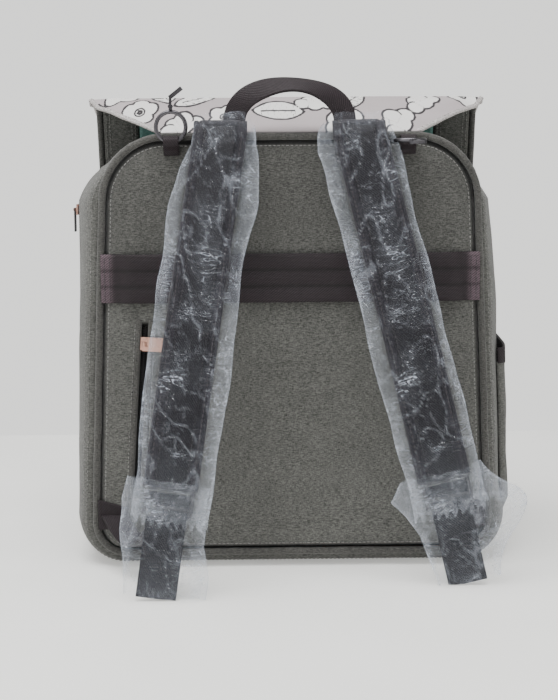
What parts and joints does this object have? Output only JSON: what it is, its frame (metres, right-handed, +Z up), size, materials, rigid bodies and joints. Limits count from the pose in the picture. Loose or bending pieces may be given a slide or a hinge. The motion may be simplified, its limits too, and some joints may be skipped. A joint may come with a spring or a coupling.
{
  "type": "diaper bag",
  "caption": "Box-shaped backpack diaper bag with a printed flap, padded straps in clear packing sleeves, luggage band, rings and zips.",
  "frame": {"origin": "middle of the flat underside of the base", "axes": "+Z up, back panel facing -Y, front flap facing +Y, +X to the right when looking at the back panel"},
  "size_m": [0.3684, 0.2792, 0.3874],
  "materials": {
    "canvas": "heathered plain-weave canvas",
    "piping": "canvas rolled over cord",
    "foam": "soft foam sheet",
    "board": "stiff board",
    "lining": "smooth nylon lining",
    "webbing": "glossy herringbone webbing",
    "print": "coated printed canvas",
    "strap_cloth": "dense dark webbing cloth",
    "film": "clear crinkled packing film",
    "gunmetal": "polished gunmetal plating",
    "rose_gold": "satin rose gold plating",
    "zip_tape": "woven zip tape",
    "buckle": "moulded plastic"
  },
  "bodies": {
    "bag": {"back_panel": "canvas", "front_panel": "canvas", "gusset_left": "canvas", "gusset_right": "canvas", "base_panel": "canvas", "facing_left": "canvas", "facing_right": "canvas", "side_pocket": "canvas", "front_pocket": "canvas", "back_piping": "piping", "front_piping": "piping", "back_foam": "foam", "base_board": "board", "lining_back": "lining", "lining_front": "lining", "lining_gusset": "lining", "slip_pocket": "lining", "luggage_band": "webbing", "handle_root": "webbing", "side_pocket_hem": "webbing", "front_pocket_hem": "webbing", "ring_tab_left": "webbing", "ring_tab_right": "webbing", "corner_tab_left": "webbing", "corner_tab_right": "webbing", "lower_webbing_left": "webbing", "lower_webbing_right": "webbing", "snap_socket": "gunmetal", "back_zip_teeth": "rose_gold", "side_zip_teeth": "rose_gold", "back_zip_tape": "zip_tape", "side_zip_tape": "zip_tape"},
    "flap_top": {"flap_top_panel": "print", "flap_top_lining": "lining", "flap_binding": "print"},
    "flap_front": {"flap_front_panel": "print", "flap_front_lining": "lining", "snap_stud": "gunmetal"},
    "grab_handle": {"grab_handle": "webbing"},
    "strap_left": {"strap_pad_left": "strap_cloth", "strap_webbing_left": "webbing", "strap_lock_left": "buckle", "strap_tail_left": "webbing", "strap_sleeve_left": "film"},
    "strap_right": {"strap_pad_right": "strap_cloth", "strap_webbing_right": "webbing", "strap_lock_right": "buckle", "strap_tail_right": "webbing", "strap_sleeve_right": "film"},
    "ring_left": {"ring_left": "gunmetal"},
    "ring_lever_left": {"ring_lever_left": "gunmetal"},
    "ring_right": {"ring_right": "gunmetal"},
    "ring_lever_right": {"ring_lever_right": "gunmetal"},
    "back_zip_slider": {"back_zip_slider": "rose_gold"},
    "back_zip_pull": {"back_zip_pull": "rose_gold"},
    "side_zip_slider": {"side_zip_slider": "rose_gold"},
    "side_zip_pull": {"side_zip_pull": "zip_tape"}
  },
  "joints": [
    {"name": "flap_lift", "type": "hinge", "parent": "bag", "child": "flap_top", "pos_m": [0, -0.0759, 0.3426], "axis": [1, 0, 0], "range_deg": [0, 75]},
    {"name": "flap_fold", "type": "hinge", "parent": "flap_top", "child": "flap_front", "pos_m": [0, 0.06578, 0.375], "axis": [1, 0, 0], "range_deg": [0, 80]},
    {"name": "handle_swing", "type": "hinge", "parent": "bag", "child": "grab_handle", "pos_m": [0, -0.0846, 0.35], "axis": [1, 0, 0], "range_deg": [-45, 30]},
    {"name": "strap_left_swing", "type": "hinge", "parent": "bag", "child": "strap_left", "pos_m": [-0.053, -0.095, 0.343], "axis": [-1, 0, 0], "range_deg": [0, 25], "deforming": ["lower_webbing_left"]},
    {"name": "strap_right_swing", "type": "hinge", "parent": "bag", "child": "strap_right", "pos_m": [0.053, -0.095, 0.343], "axis": [-1, 0, 0], "range_deg": [0, 25], "deforming": ["lower_webbing_right"]},
    {"name": "ring_left_swing", "type": "hinge", "parent": "bag", "child": "ring_left", "pos_m": [-0.091, -0.08861, 0.337], "axis": [1, 0, 0], "range_deg": [-35, 85]},
    {"name": "ring_lever_left_press", "type": "hinge", "parent": "ring_left", "child": "ring_lever_left", "pos_m": [-0.091, -0.08861, 0.3638], "axis": [0, 1, 0], "range_deg": [0, 25], "stiffness_Nm_per_rad": 0.004},
    {"name": "ring_right_swing", "type": "hinge", "parent": "bag", "child": "ring_right", "pos_m": [0.091, -0.08861, 0.337], "axis": [-1, 0, 0], "range_deg": [0, 85]},
    {"name": "ring_lever_right_press", "type": "hinge", "parent": "ring_right", "child": "ring_lever_right", "pos_m": [0.091, -0.11541, 0.337], "axis": [0, 0, 1], "range_deg": [0, 25], "stiffness_Nm_per_rad": 0.004},
    {"name": "back_zip_slide", "type": "slide", "parent": "bag", "child": "back_zip_slider", "axis": [-0.0698, 0, -0.9976], "range_m": [0, 0.11]},
    {"name": "back_zip_pull_swing", "type": "hinge", "parent": "back_zip_slider", "child": "back_zip_pull", "pos_m": [-0.11503, -0.0861, 0.18087], "axis": [-0.0698, 0, -0.9976], "range_deg": [0, 150]},
    {"name": "side_zip_slide", "type": "slide", "parent": "bag", "child": "side_zip_slider", "axis": [-0.0016, 0, -1], "range_m": [0, 0.18]},
    {"name": "side_zip_pull_swing", "type": "hinge", "parent": "side_zip_slider", "child": "side_zip_pull", "pos_m": [-0.18166, 0.03397, 0.28201], "axis": [0, 1, 0], "range_deg": [0, 150]}
  ]
}
